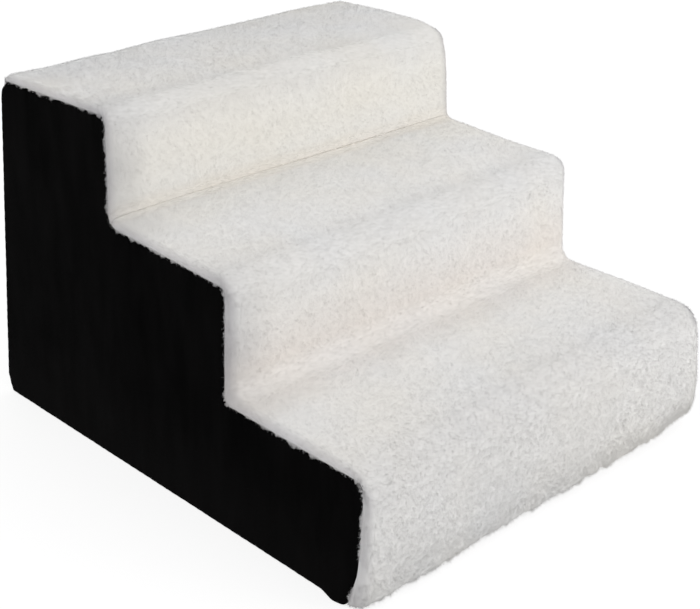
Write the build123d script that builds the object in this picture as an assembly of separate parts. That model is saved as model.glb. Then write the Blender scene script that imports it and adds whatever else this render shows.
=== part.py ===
from build123d import *
import math
import os

os.makedirs("parts", exist_ok=True)

# Pet stairs: a stepped foam core of three glued slabs in a sewn cover that zips off.
# Suede cloth closes both sides and the back, plush covers the treads and risers,
# and a separate cloth closes the base.
# All lengths are in millimetres and all angles in degrees.
# X runs across the treads, Y from the lowest step to the back, Z is up. The origin is
# on the floor, in the middle of the whole object.

# Foam core
step_names = ("bottom", "middle", "top")
step_run = 144.0
top_run = 150.0
step_rise = 97.5
core_width = 396.0
bottom_foam_nose = 14.0
middle_foam_nose = 9.0
top_foam_nose = 8.0
back_top_radius = 8.0

# The foot, where the base seam draws the foam in
front_tuck = 7.0
front_tuck_height = 34.0
front_tuck_round = 60.0
back_tuck = 5.0
back_tuck_height = 14.0
back_tuck_round = 16.0

# Suede sides and back, and the base cloth
suede_thickness = 2.0
suede_edge_radius = 1.2
cover_nose_radius = 5.0
inner_corner_radius = 12.0
base_thickness = 2.0

# Plush over the treads and risers
tread_pile = 7.0
riser_pile = 8.0
pile_edge_round = 7.0
pile_crown_run = 70.0
edge_pile_share = 0.5
edge_round_share = 0.6
shoulder_share = 0.86
back_arc_share = 0.9
top_nosing_radius = 18.0
middle_nosing_radius = 20.0
bottom_nosing_radius = 28.0
valley_radius = 17.0
crease_radius = 6.0
hem_flare = 4.0
front_bulge = 2.5
front_bulge_height = 48.0
front_bulge_round = 90.0

# Zip, along the back above the foot
zip_height = 46.0
zip_window_height = 13.0
zip_side_margin = 24.0
zip_end_gap = 3.0
tape_width = 12.0
tape_thickness = 0.6
tape_end_hem = 8.0
tooth_pitch = 3.0
tooth_height = 2.4
tooth_root = 2.6
tooth_tip = 1.1
tooth_neck_at = 0.75
tooth_head_at = 0.55
tooth_root_width = 1.9
tooth_neck_width = 1.1
tooth_head_width = 1.5
tooth_tip_width = 0.9
stop_length = 2.5
stop_width = 2.2
slider_length = 10.0
slider_grip = 5.0
slider_plate = 0.9
slider_lip = 0.9
slider_flare = 1.2
slider_corner = 1.0
post_half_width = 1.3
bridge_length = 5.2
bridge_width = 1.6
bridge_thickness = 0.9
bridge_round = 0.8
pull_thickness = 1.4
pull_length = 26.0
pull_eye_length = 4.0
pull_arm_width = 0.8
pull_tail_width = 6.0
pull_tail_round = 2.6
pull_slot_length = 8.0
pull_slot_width = 2.4
pull_slot_inset = 3.0
running_gap = 0.2
pull_gap = 0.3
overrun = 1.0

# Worked out from the sizes above
steps = len(step_names)
foam_noses = (bottom_foam_nose, middle_foam_nose, top_foam_nose)
cover_noses = (cover_nose_radius,) * steps
core_depth = (steps - 1) * step_run + top_run
core_top = base_thickness + steps * step_rise
half_core = core_width / 2
half_cover = half_core + suede_thickness
tape_middle = -tape_thickness / 2
slider_inner = tooth_height / 2 + running_gap
slider_outer = slider_inner + slider_plate
pull_rest = max(tape_middle + slider_outer, suede_thickness) + pull_gap
hinge_out = pull_rest + pull_thickness / 2
bridge_top = hinge_out + pull_thickness / 2 + pull_gap + bridge_thickness
front_reach = riser_pile + front_bulge
total_depth = front_reach + core_depth + bridge_top
core_front = front_reach - total_depth / 2
core_back = core_front + core_depth
chain_ends = 2 * (zip_end_gap + stop_length + pull_gap) + slider_length - slider_grip
tooth_count = math.floor((core_width - 2 * zip_side_margin - chain_ends) / tooth_pitch)
chain_length = tooth_count * tooth_pitch
window_length = chain_length + chain_ends
window_left = -window_length / 2
bottom_stop_right = window_left + zip_end_gap + stop_length
chain_left = bottom_stop_right + pull_gap
chain_right = chain_left + chain_length
slider_rear = chain_right - slider_grip
slider_middle = slider_rear + slider_length / 2
top_stop_left = slider_rear + slider_length + pull_gap
zip_travel = slider_rear - bottom_stop_right - pull_gap


def step_front(i):
    """Where the riser of step i stands in the foam."""
    return core_front + i * step_run


def step_top(i):
    """The height of the foam under tread i."""
    return base_thickness + (i + 1) * step_rise


def rounded_face(corners):
    """A closed outline through corners of (y, z, radius), as a face."""
    points = [(y, z) for y, z, _ in corners]
    radii = [radius for _, _, radius in corners]
    return make_face(FilletPolyline(*points, radius=radii, close=True))


def stair_face(back_cloth, noses, inner_radius):
    """The stepped side view, with its drawn-in foot, down to the floor."""
    back = core_back + back_cloth
    corners = [
        (core_front + front_tuck, 0, 0),
        (core_front, front_tuck_height, front_tuck_round),
    ]
    for i in range(steps):
        corners.append((step_front(i), step_top(i), noses[i]))
        if i + 1 < steps:
            corners.append((step_front(i + 1), step_top(i), inner_radius))
    corners += [
        (back, core_top, back_top_radius),
        (back, back_tuck_height, back_tuck_round),
        (back - back_tuck, 0, 0),
    ]
    return rounded_face(corners)


def band(low, high):
    """A strip of the side view from one height to another, past the object's depth."""
    strip = Rectangle(2 * total_depth, high - low)
    return Pos(0, (low + high) / 2) * strip


def across(face, width, middle=0):
    """A side view carried across the object by a width, about a middle."""
    return extrude(Plane.YZ.offset(middle) * face, width / 2, both=True)


def block(x, y, z):
    """A box from its (low, high) pairs."""
    low, high = (x[0], y[0], z[0]), (x[1], y[1], z[1])
    size = [b - a for a, b in zip(low, high)]
    return Pos(*low) * Box(*size, align=(Align.MIN, Align.MIN, Align.MIN))


def save(solid, name):
    solid.label = name
    export_step(solid, f"parts/{name}.step")


# Side views that the pieces share
core_face = stair_face(0, foam_noses, 0)
cover_face = stair_face(suede_thickness, cover_noses, inner_corner_radius)
core_block = across(core_face, core_width)


# Foam slabs, glued flat on flat, with a channel pressed in behind the zip
def zip_channel():
    back = (core_back - tape_thickness, core_back + overrun)
    reach = tooth_root + tape_width
    tape_room = block(
        (window_left - tape_end_hem, -window_left + tape_end_hem),
        back,
        (zip_height - reach, zip_height + reach),
    )
    deep = core_back + tape_middle - slider_outer - running_gap
    slider_room = block(
        (window_left, -window_left),
        (deep, core_back + overrun),
        (zip_height - zip_window_height / 2, zip_height + zip_window_height / 2),
    )
    return tape_room + slider_room


def foam_slab(i):
    low = base_thickness + i * step_rise
    return across(core_face & band(low, low + step_rise), core_width)


for i, name in enumerate(step_names):
    slab = foam_slab(i)
    if i == 0:
        slab -= zip_channel()
    save(slab, f"foam_slab_{name}")


# Base cloth, under the core and inside the sides
save(across(core_face & band(0, base_thickness), core_width), "base_panel")


# Suede sides, with the seam's rolled edge all round
def side_panel(side):
    middle = side * (half_core + suede_thickness / 2)
    panel = across(cover_face, suede_thickness, middle)
    outer_face = panel.faces().sort_by(Axis.X)[-1 if side > 0 else 0]
    return fillet(outer_face.edges(), suede_edge_radius)


save(side_panel(-1), "side_panel_left")
save(side_panel(1), "side_panel_right")
side_blanks = [
    across(cover_face, suede_thickness, side * (half_core + suede_thickness / 2))
    for side in (-1, 1)
]


# Suede back, in two pieces that meet beyond the ends of the zip
back_strip = (cover_face - core_face) & (
    Pos(core_back, 0) * Rectangle(2 * (back_tuck + suede_thickness), 2 * total_depth)
)
window = block(
    (window_left, -window_left),
    (core_back - overrun, core_back + suede_thickness + overrun),
    (zip_height - zip_window_height / 2, zip_height + zip_window_height / 2),
)


def back_panel(low, high):
    return across(back_strip & band(low, high), core_width) - window


save(back_panel(zip_height, core_top - back_top_radius), "back_panel_upper")
save(back_panel(0, zip_height), "back_panel_lower")


# Plush, crowned across the treads and rolled over at the side seams
def upper_corners(pile_share, round_share):
    """The top tread and its riser, from the back seam to the crease."""
    rise, out = pile_share * tread_pile, pile_share * riser_pile
    last = steps - 1
    front, low, high = step_front(last), step_top(last - 1), core_top
    back = core_back + suede_thickness
    return [
        (back, high - back_top_radius, 0),
        (back, high + rise, back_arc_share * (back_top_radius + rise)),
        (front - out, high + rise, round_share * top_nosing_radius),
        (front - out, low + rise, round_share * crease_radius),
        (front, low, 0),
        (front + top_foam_nose, high - top_foam_nose, 0),
        (core_back - back_top_radius, high - back_top_radius, 0),
    ]


def lower_corners(pile_share, round_share):
    """The two lower treads and risers in one length, from the crease to the floor."""
    rise, out = pile_share * tread_pile, pile_share * riser_pile
    inside = front_tuck + bottom_foam_nose / 2
    front, low, high = step_front(1), step_top(0), step_top(1)
    crease = step_front(steps - 1)
    return [
        (crease, high, 0),
        (crease - out, high + rise, round_share * crease_radius),
        (front - out, high + rise, round_share * middle_nosing_radius),
        (front - out, low + rise, round_share * valley_radius),
        (core_front - out, low + rise, round_share * bottom_nosing_radius),
        (core_front - out - pile_share * front_bulge, front_bulge_height, front_bulge_round),
        (core_front + front_tuck - out - pile_share * hem_flare, 0, 0),
        (core_front + front_tuck, 0, 0),
        (core_front + inside, low - inside, 0),
        (front + inside, low - inside, 0),
        (front + inside, high - inside, 0),
    ]


def plush(corners):
    """A crowned sheet on the core, from the section that corners gives at each place."""
    half_places = (
        (half_cover, edge_pile_share, edge_round_share),
        (half_cover - pile_edge_round, shoulder_share, shoulder_share),
        (half_cover - pile_crown_run, 1, 1),
    )
    places = [(-x, *shares) for x, *shares in half_places]
    places += reversed(half_places)
    sections = [
        Plane.YZ.offset(x) * rounded_face(corners(*shares)) for x, *shares in places
    ]
    sheet = loft(sections, ruled=True) - core_block
    for blank in side_blanks:
        sheet -= blank
    return sheet


save(plush(upper_corners), "plush_upper")
save(plush(lower_corners), "plush_lower")


# Zip tapes, sewn behind the two back panels
zip_plane = Plane(
    origin=(0, core_back + tape_middle, zip_height), x_dir=(1, 0, 0), z_dir=(0, -1, 0)
)


def zip_piece(solid):
    """Moves a piece made on X (along the zip), Y (up) and Z (into the foam) to its place."""
    return zip_plane * solid


def mirrored(outline, side):
    """An outline of the upper half, or its mirror image below the zip's middle line."""
    return [(x, side * y) for x, y in outline]


def zip_tape(side):
    tape = Box(window_length + 2 * tape_end_hem, tape_width, tape_thickness)
    return zip_piece(Pos(0, side * (tooth_root + tape_width / 2)) * tape)


# Moulded teeth, each row half a pitch from the other
def zip_tooth(side):
    half = [
        (tooth_root_width / 2, tooth_root),
        (tooth_neck_width / 2, tooth_neck_at),
        (tooth_head_width / 2, -tooth_head_at),
        (tooth_tip_width / 2, -tooth_tip),
    ]
    outline = half + [(-x, y) for x, y in reversed(half)]
    face = make_face(Polyline(*mirrored(outline, side), close=True))
    return extrude(face, tooth_height / 2, both=True)


def zip_teeth(side):
    tooth = zip_tooth(side)
    first = chain_left + tooth_pitch / 4 + (0 if side > 0 else tooth_pitch / 2)
    teeth = [
        zip_piece(Pos(first + n * tooth_pitch, 0) * tooth) for n in range(tooth_count)
    ]
    return Compound(children=teeth)


# Stops: one block bridges both tapes at the open end, one sits on each tape at the other
def stop_block(x, low, high):
    middle = Pos(x + stop_length / 2, (low + high) / 2)
    return middle * Box(stop_length, high - low, tooth_height)


tapes = {side: zip_tape(side) for side in (1, -1)}
reach = tooth_root + stop_width / 2
bottom_stop = zip_piece(stop_block(bottom_stop_right - stop_length, -reach, reach))
top_stops = []
for side, tape in tapes.items():
    bottom_stop -= tape
    ends = sorted((side * (tooth_root - stop_width / 2), side * reach))
    top_stops.append(zip_piece(stop_block(top_stop_left, *ends)) - tape)

save(tapes[1], "zip_tape_upper")
save(tapes[-1], "zip_tape_lower")
save(zip_teeth(1), "zip_teeth_upper")
save(zip_teeth(-1), "zip_teeth_lower")
save(bottom_stop, "zip_bottom_stop")
save(Compound(children=top_stops), "zip_top_stops")


# Slider: two plates with lips round the teeth, a wedge between them, and a bridge
def slider_outline(rear, front, past=0):
    half = slider_length / 2 + past
    return [(-half, rear), (0, rear), (half, front), (half, -front), (0, -rear), (-half, -rear)]


def zip_slider():
    room = tooth_root + running_gap
    rear, front = room + slider_lip, room + slider_lip + slider_flare
    body_face = make_face(Polyline(*slider_outline(rear, front), close=True))
    body_face = fillet(body_face.vertices(), slider_corner)
    body = extrude(body_face, slider_outer, both=True)
    channel_outline = slider_outline(room, room + slider_flare, overrun)
    channel_face = make_face(Polyline(*channel_outline, close=True))
    body -= extrude(channel_face, slider_inner, both=True)
    tape_slot = tape_thickness + 2 * running_gap
    body -= Box(slider_length + 2 * overrun, 2 * (front + overrun), tape_slot)
    post_point = slider_grip - slider_length / 2 + running_gap
    post_end = slider_length / 2 - slider_corner
    post = [(post_point, 0), (post_end, post_half_width), (post_end, -post_half_width)]
    post_face = make_face(Polyline(*post, close=True))
    body += extrude(post_face, slider_inner + slider_plate / 2, both=True)
    return Pos(slider_middle, 0) * body


def slider_bridge():
    foot, top = slider_outer - slider_plate / 2, bridge_top - tape_middle
    outer = Pos(0, (foot + top) / 2) * Rectangle(bridge_length, top - foot)
    outer = fillet(outer.vertices().group_by(Axis.Y)[-1], bridge_round)
    eye_top = top - bridge_thickness
    eye = Pos(0, (slider_outer + eye_top) / 2) * Rectangle(
        bridge_length - 2 * bridge_thickness, eye_top - slider_outer
    )
    side_view = Plane(origin=(0, 0, 0), x_dir=(1, 0, 0), z_dir=(0, 1, 0)) * (outer - eye)
    return Pos(slider_middle, 0) * extrude(side_view, bridge_width / 2, both=True)


save(zip_piece(zip_slider() + slider_bridge()), "zip_slider")


# Pull: a round bar under the bridge, two arms beside it, and a flat tail with a slot
def zip_pull():
    half_eye = bridge_width / 2 + pull_gap
    half_arms = half_eye + pull_arm_width
    bar_radius = pull_thickness / 2
    eye_end = bar_radius + pull_eye_length
    outline = [
        (0, half_arms),
        (-eye_end, half_arms),
        (-pull_length, pull_tail_width / 2),
        (-pull_length, -pull_tail_width / 2),
        (-eye_end, -half_arms),
        (0, -half_arms),
    ]
    face = make_face(Polyline(*outline, close=True))
    tail_ends = face.vertices().group_by(Axis.X)[0]
    face = fillet(tail_ends, pull_tail_round)
    face -= Pos(-eye_end / 2, 0) * Rectangle(eye_end, 2 * half_eye)
    slot_middle = -pull_length + pull_slot_inset + pull_slot_length / 2
    face -= Pos(slot_middle, 0) * SlotOverall(pull_slot_length, pull_slot_width)
    tail = extrude(face, pull_thickness / 2, both=True)
    bar = Rot(90, 0, 0) * Cylinder(bar_radius, 2 * half_arms)
    placed = Pos(slider_middle, 0, -(hinge_out - tape_middle)) * (tail + bar)
    return zip_piece(placed)


save(zip_pull(), "zip_pull")
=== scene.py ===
import math

import bpy
import numpy as np
from mathutils import Matrix, Vector, geometry
from mathutils.bvhtree import BVHTree


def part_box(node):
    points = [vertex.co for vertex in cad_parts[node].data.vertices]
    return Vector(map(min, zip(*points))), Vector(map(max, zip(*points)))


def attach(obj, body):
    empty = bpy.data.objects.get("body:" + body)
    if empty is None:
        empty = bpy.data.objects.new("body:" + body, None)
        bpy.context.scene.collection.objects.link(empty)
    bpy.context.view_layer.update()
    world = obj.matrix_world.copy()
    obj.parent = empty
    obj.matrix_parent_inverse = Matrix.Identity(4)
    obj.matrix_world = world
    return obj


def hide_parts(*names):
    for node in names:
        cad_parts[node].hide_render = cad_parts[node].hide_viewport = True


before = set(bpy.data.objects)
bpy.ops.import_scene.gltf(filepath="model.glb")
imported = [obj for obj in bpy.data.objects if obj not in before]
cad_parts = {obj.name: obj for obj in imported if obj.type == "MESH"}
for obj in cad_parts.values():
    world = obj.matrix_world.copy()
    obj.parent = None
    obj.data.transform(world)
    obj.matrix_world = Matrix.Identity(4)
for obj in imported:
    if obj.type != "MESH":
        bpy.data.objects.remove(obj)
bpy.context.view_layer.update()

# Pet stairs: a stepped foam core in a sewn cover that zips off. Plush covers the treads
# and risers, suede cloth the sides and the back, and a dotted cloth the base.
# Lengths are in metres. X runs across the treads, Y to the back and Z up.
mm, tiny = 0.001, 1e-12
chance = np.random.default_rng(7)

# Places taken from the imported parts
slab_names = ("foam_slab_bottom", "foam_slab_middle", "foam_slab_top")
slab_boxes = [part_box(name) for name in slab_names]
riser_faces = [low.y for low, high in slab_boxes]
tread_faces = [high.z for low, high in slab_boxes]
core_side = slab_boxes[0][1].x
cover_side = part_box("side_panel_right")[1].x
cover_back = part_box("back_panel_upper")[1].y
seam_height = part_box("back_panel_upper")[1].z
zip_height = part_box("back_panel_lower")[1].z
window_end_gap = 3 * mm
window_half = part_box("zip_top_stops")[1].x + window_end_gap
suede_thickness = cover_side - core_side
base_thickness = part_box("base_panel")[1].z

# Side view of the cover: seams above the foam's edges, climbing treads, leaning risers and back
seam_rises = (4.7 * mm, 3.5 * mm, 1.2 * mm)
inner_climbs = (3.2 * mm, 6.8 * mm)
riser_slacks = (0.5 * mm, 1.1 * mm, -3.6 * mm)
riser_leans = (1.7 * mm, 2.4 * mm)
back_top_drop, back_top_lean, back_foot_lean = 0.8 * mm, 11.9 * mm, -1.8 * mm
front_tuck, front_tuck_height, front_tuck_round = 9 * mm, 34 * mm, 120 * mm
back_tuck, back_tuck_height, back_tuck_round, back_tuck_power = 6 * mm, 16 * mm, 16 * mm, 1.5
seam_nose_radii, foot_radius = (6 * mm, 3 * mm, 5 * mm), 4 * mm
back_top_radius, back_seam_radius, back_seam_in = 15 * mm, 7.5 * mm, 1.5 * mm
valley_seam_radius, crease_seam_radius = 4 * mm, 12 * mm
racking, rack_middle = 7 * mm, 150 * mm
far_foot_out, far_foot_height, far_foot_power, foot_depth = 5 * mm, 95 * mm, 0.6, 70 * mm
far_nose_dent, far_nose_reach, dent_each_way = 7 * mm, 22 * mm, math.sqrt(0.5)
far_corner_lift, far_corner_tuck, far_corner_height = 10 * mm, 5 * mm, 45 * mm
far_corner_shares = (0.68, 0.0), (0.88, 0.35), (0.94, 0.6), (1.0, 1.0)

# Plush skin under the loose fibres
tread_pile, riser_piles = 6.3 * mm, (7.0 * mm, 7.0 * mm, 1.0 * mm)
seam_lift_share, shoulder_share = 0.14, 0.97
roll_width, roll_points, roll_calm_share = 10 * mm, 11, 0.45
crown_run = 62 * mm
nosing_radii = (28 * mm, 20 * mm, 14 * mm)
valley_radius, crease_radius, back_crown_radius = 15 * mm, 8 * mm, 10 * mm
bulge, bulge_height, bulge_round = 1 * mm, 30 * mm, 60 * mm
hem_tuck, hem_height, hem_reach = 0.5 * mm, 4 * mm, 34 * mm
seam_foot = 1.5 * mm
hem_lift, hem_tufts = 8 * mm, ((11 * mm, 2.2 * mm), (4.5 * mm, 1.8 * mm))
back_end_bare, back_end_rise, back_corner_width, back_end_sink = 15 * mm, 2 * mm, 13 * mm, 3 * mm
fibres_end_at = 0.5
pressed_in, pressed_reach, pressed_run, pressed_share = 46 * mm, 30 * mm, 60 * mm, 0.6
skin_spacing, backing_every = 1.7 * mm, 8
skin_floor, fibre_floor = 0.4 * mm, 0.3 * mm
pile_overhang = 1 * mm

# How lively the pile is, from hem to crease and from crease to back seam
lower_ruffle_shares = (0.9, 0.55, 0.2, 0.4, 0.2, 0.25)
upper_ruffle_shares = (0.2, 0.2, 0.3, 0.4)

# Locks are tufts that lean together; curls are the finer ones inside them
lock_pitch, lock_depth, lock_power = 6.5 * mm, 0.42 * mm, 1.5
curl_pitch, curl_depth = 2.6 * mm, 0.25 * mm
swell_pitch, swell_depth = 55 * mm, 1.3 * mm

# Fibres: how many, how large, how they lean, and how much they are shaded like the skin
fibre_density, fibres_per_piece = 2.2e6, 47000
fibre_lengths, fibre_radius, fibre_radius_shares = (3.2 * mm, 5.2 * mm), 0.11 * mm, (0.75, 1.25)
fibre_sink = 0.8 * mm
fibre_angles = tuple(math.radians(a) for a in (90, 210, 330))
ring_tilt = 0.3
stand, comb, wander, gather, curl_share = 0.34, 0.32, 0.34, 0.11, 0.6
calm_stand_share, calm_length_share = 0.5, 0.6
loose_share, loose_stand = 0.015, 0.9
nap_share, relief_share = 0.965, 0.12

# Tufts along the side seams and over the hem
fringe_density, tuft_scatter = 1.4e4, 0.3
fringe_lengths, fringe_pitch, fringe_inset = (0.2 * mm, 4.6 * mm), 3.6 * mm, 0.5 * mm
fringe_even_share, fringe_sink_share, fringe_out = 0.7, 0.2, 0.6
hem_lengths, hem_pitch, hem_row = (0.5 * mm, 6.5 * mm), 5 * mm, 2 * mm
hem_even_share, hem_sink_share, hem_out = 0.6, 0.5, 0.35

# Shares of one fibre's square in its texture map
fan_middle, fan_reach = np.array((0.44, 0.44)), 0.42
foot_middle, foot_reach = np.array((0.86, 0.86)), 0.12


# Side views of the cover: the seam on each side panel, and the full pile between them
riser_tops = [face + slack for face, slack in zip(riser_faces, riser_slacks)]
riser_feet = [top - lean for top, lean in zip(riser_tops[1:], riser_leans)]
nose_heights = [tread + rise for tread, rise in zip(tread_faces, seam_rises)]
inner_heights = [nose + climb for nose, climb in zip(nose_heights, inner_climbs)]
back_top = (cover_back - back_top_lean, nose_heights[2] - back_top_drop)
back_foot = (cover_back - back_foot_lean, back_tuck_height)
seam_share = (back_top[1] - seam_height) / (back_top[1] - back_foot[1])
back_seam = [top + seam_share * (foot - top) for top, foot in zip(back_top, back_foot)]
seam_over = back_top_radius - (back_top[1] - back_seam[1])
back_seam[0] -= back_top_radius - math.sqrt(back_top_radius**2 - seam_over**2)
base_front, base_back = riser_tops[0] + front_tuck, back_foot[0] - back_tuck - suede_thickness

# Painted light and shade on the plush, with the tan where its pile parts at the crease seam: a line's
# depth and height, the change's reach, strength and colour
riser_feet_heights = [0, *inner_heights]
riser_middles = [
    (top, (foot + nose) / 2) for top, foot, nose in zip(riser_tops, riser_feet_heights, nose_heights)
]
# The crease's tan and painted shade sit a little out from its seam
crease_tan_and_painted_shade_out, crease_tan_and_painted_shade_up = 3 * mm, 1.4 * tread_pile
# The valley's painted shade sits a little out from its seam
valley_painted_shade_out, valley_painted_shade_up = 8 * mm, 4 * tread_pile
crease_tan_and_painted_shade_place = (riser_feet[1] - crease_tan_and_painted_shade_out, inner_heights[1] + crease_tan_and_painted_shade_up)
valley_painted_shade_place = (riser_feet[0] - valley_painted_shade_out, inner_heights[0] + valley_painted_shade_up)
# Painted shade over the nosings, where the lamps light the pile more
nosing_painted_shade = (30 * mm, 0.30, (0.60, 0.60, 0.61, 1))
plush_painted_light_and_shade = [
    # tan where the pile parts at the crease seam, with painted shade in the crease
    (crease_tan_and_painted_shade_place, 12 * mm, 0.36, (0.81, 0.70, 0.58, 1)),
    # painted light on the lowest riser, against the shade among its upright fibres
    (riser_middles[0], 60 * mm, 0.60, (0.97, 0.965, 0.955, 1)),
    # painted pinkish shade in the lower valley
    (valley_painted_shade_place, 48 * mm, 0.42, (0.90, 0.80, 0.72, 1)),
    # painted warm shade over the top riser
    (riser_middles[2], 75 * mm, 0.45, (0.84, 0.80, 0.70, 1)),
    # painted shade over the three nosings
    *[(place, *nosing_painted_shade) for place in zip(riser_tops, nose_heights)],
]
# Painted shade along both side seams, where the rolled pile turns away from the light
painted_side_shade_reach, painted_side_shade_strength, painted_side_shade_colour = 8 * mm, 0.40, (0.36, 0.345, 0.38, 1)

# Painted shade: the two upper risers are also greyer beside their near seam
painted_riser_shades = ((riser_middles[1], 0.60), (riser_middles[2], 0.80))
painted_riser_shade_across, painted_riser_shade_reach, painted_riser_shade_colour = 42 * mm, 75 * mm, (0.46, 0.46, 0.475, 1)

# Plush from warm to cool, suede and foam from dark to light, and the dust low on the suede
skin_colours = (0.92, 0.90, 0.865, 1), (0.90, 0.90, 0.90, 1)
fibre_colours = (0.935, 0.915, 0.88, 1), (0.915, 0.915, 0.918, 1)
suede_colours = (0.0004, 0.0004, 0.0004, 1), (0.0037, 0.0035, 0.0036, 1)
foam_colours = (0.80, 0.72, 0.50, 1), (0.86, 0.80, 0.62, 1)
dust_height, dust_strength, dust_colour = 80 * mm, 0.3, (0.0085, 0.008, 0.008, 1)


def unit(vectors):
    """The same directions, each of length 1."""
    return vectors / np.maximum(np.linalg.norm(vectors, axis=-1, keepdims=True), tiny)


def eased(share):
    """A share from 0 to 1 that starts and ends gently."""
    return share * share * (3 - 2 * share)


def bell(off, reach):
    """1 in the middle of a spot, and close to 0 past its reach."""
    return np.exp(-((off / reach) ** 2))


def edge_round(gap, width):
    """How far a rounded edge has dropped at a gap from its rim, from 0 to 1."""
    near = np.clip(1 - gap / width, 0, 1)
    return 1 - np.sqrt(1 - near**2)


def round_steps(count):
    """The numbers of the points round a ring, the number after each, and their angles."""
    steps = np.arange(count)
    return steps, (steps + 1) % count, steps * 2 * math.pi / count


def rounded_path(corners, spacing=None, counts=None):
    """Points along (y, z, radius) corners, in straight runs and arcs, and their counts."""
    spots = [np.array(corner[:2], float) for corner in corners]
    stretches, at = [], spots[0]
    for before, corner, after, (_, _, radius) in zip(spots, spots[1:], spots[2:], corners[1:]):
        inward, onward = unit(corner - before), unit(after - corner)
        square = np.array([-inward[1], inward[0]])
        turn = math.atan2(square @ onward, inward @ onward)
        start = corner - radius * math.tan(abs(turn) / 2) * inward
        side = math.copysign(radius, turn) * square
        stretches.append((np.linalg.norm(start - at), at, start - at, None, 0))
        stretches.append((radius * abs(turn), start + side, -side, turn, radius))
        at = start + side + _turned(-side, turn)
    stretches.append((np.linalg.norm(spots[-1] - at), at, spots[-1] - at, None, 0))
    if counts is None:
        counts = [max(2, math.ceil(length / spacing)) for length, *_ in stretches]
    points = []
    for count, (_, origin, reach, turn, _) in zip(counts, stretches):
        for share in np.arange(count) / count:
            points.append(origin + (share * reach if turn is None else _turned(reach, share * turn)))
    points.append(spots[-1])
    return np.array(points), counts


def _turned(vector, angle):
    c, s = math.cos(angle), math.sin(angle)
    return np.array([c * vector[0] - s * vector[1], s * vector[0] + c * vector[1]])


def run_lengths(points):
    """How far along a path each of its points lies."""
    steps = np.linalg.norm(np.diff(points, axis=0), axis=1)
    return np.concatenate([[0], np.cumsum(steps)])


lattice_size, lattice_layers = 256, 3
noise_shifts, lock_shifts = (17.3, 9.1), (61, 23)
lattice = chance.random((lattice_size, lattice_size, lattice_layers))


def soft_noise(u, v, pitch, layer=0):
    """Smooth noise from -1 to 1 over a flat cloth, with waves about pitch long."""
    a, b = u / pitch + noise_shifts[0] * layer, v / pitch + noise_shifts[1] * layer
    i, j = np.floor(a).astype(int), np.floor(b).astype(int)
    fa, fb = eased(a - i), eased(b - j)

    def at(di, dj):
        return lattice[(i + di) % lattice_size, (j + dj) % lattice_size, layer % lattice_layers]

    low = at(0, 0) * (1 - fa) + at(1, 0) * fa
    high = at(0, 1) * (1 - fa) + at(1, 1) * fa
    return 2 * (low * (1 - fb) + high * fb) - 1


def nearest_lock(u, v, pitch, layer=0):
    """The middle of the nearest tuft on a flat cloth, and how far off it is, in pitches."""
    i, j = np.floor(u / pitch).astype(int), np.floor(v / pitch).astype(int)
    best = np.full(np.shape(u), math.inf)
    mid_u, mid_v = np.array(u, float), np.array(v, float)
    for di in (-1, 0, 1):
        for dj in (-1, 0, 1):
            row, column = i + di + lock_shifts[0] * layer, j + dj + lock_shifts[1]
            shift = lattice[row % lattice_size, column % lattice_size]
            lock_u = (i + di + shift[..., 0]) * pitch
            lock_v = (j + dj + shift[..., 1]) * pitch
            gap = np.hypot(u - lock_u, v - lock_v) / pitch
            closer = gap < best
            best = np.where(closer, gap, best)
            mid_u, mid_v = np.where(closer, lock_u, mid_u), np.where(closer, lock_v, mid_v)
    return mid_u, mid_v, best


def mesh_piece(name, points, faces, material):
    """A mesh object from points and faces. faces is a list of arrays, one for each face size."""
    mesh = bpy.data.meshes.new(name)
    corners = np.concatenate([f.ravel() for f in faces]).astype(np.int32)
    sizes = np.concatenate([np.full(len(f), f.shape[1]) for f in faces])
    mesh.vertices.add(len(points))
    mesh.vertices.foreach_set("co", np.asarray(points, np.float32).ravel())
    mesh.loops.add(len(corners))
    mesh.loops.foreach_set("vertex_index", corners)
    mesh.polygons.add(len(sizes))
    starts = np.concatenate([[0], np.cumsum(sizes)[:-1]]).astype(np.int32)
    mesh.polygons.foreach_set("loop_start", starts)
    mesh.polygons.foreach_set("use_smooth", np.full(len(sizes), True))
    mesh.update(calc_edges=True)
    mesh.validate()
    piece = bpy.data.objects.new(name, mesh)
    bpy.context.scene.collection.objects.link(piece)
    mesh.materials.append(material)
    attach(piece, "stairs")
    return piece


def grid_faces(rows, columns, start=0):
    """Quads over a grid of points that is stored row by row."""
    i = start + (np.arange(rows - 1)[:, None] * columns + np.arange(columns - 1)[None]).ravel()
    return np.stack([i, i + 1, i + columns + 1, i + columns], 1)


def tube_faces(sides, rings):
    """Quads between rings of points that follow each other."""
    i, j, _ = round_steps(sides)
    firsts = sides * np.arange(rings - 1)
    return np.concatenate([np.stack([k + i, k + j, k + sides + j, k + sides + i], 1) for k in firsts])


# Shader helpers
def wire(tree, made, **inputs):
    """Sets inputs of a node, by name or by i and a number, to a value or to another's output."""
    for key, value in inputs.items():
        numbered = key[0] == "i" and key[1:].isdigit()
        socket = made.inputs[int(key[1:]) if numbered else key.replace("_", " ")]
        if isinstance(value, bpy.types.NodeSocket):
            tree.links.new(value, socket)
        else:
            socket.default_value = value


def node(tree, kind, settings=None, **inputs):
    """A node of a kind, with its own settings and inputs."""
    made = tree.nodes.new(kind)
    for key, value in (settings or {}).items():
        setattr(made, key, value)
    wire(tree, made, **inputs)
    return made


def maths(tree, operation, a, b=0.0):
    """One sum on one or two values."""
    return node(tree, "ShaderNodeMath", {"operation": operation}, i0=a, i1=b).outputs[0]


def between(tree, value, low, high, out_low=0.0, out_high=1.0):
    """value carried from one range to another, and held inside it."""
    return node(
        tree, "ShaderNodeMapRange", None,
        Value=value, From_Min=low, From_Max=high, To_Min=out_low, To_Max=out_high,
    ).outputs[0]


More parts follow.
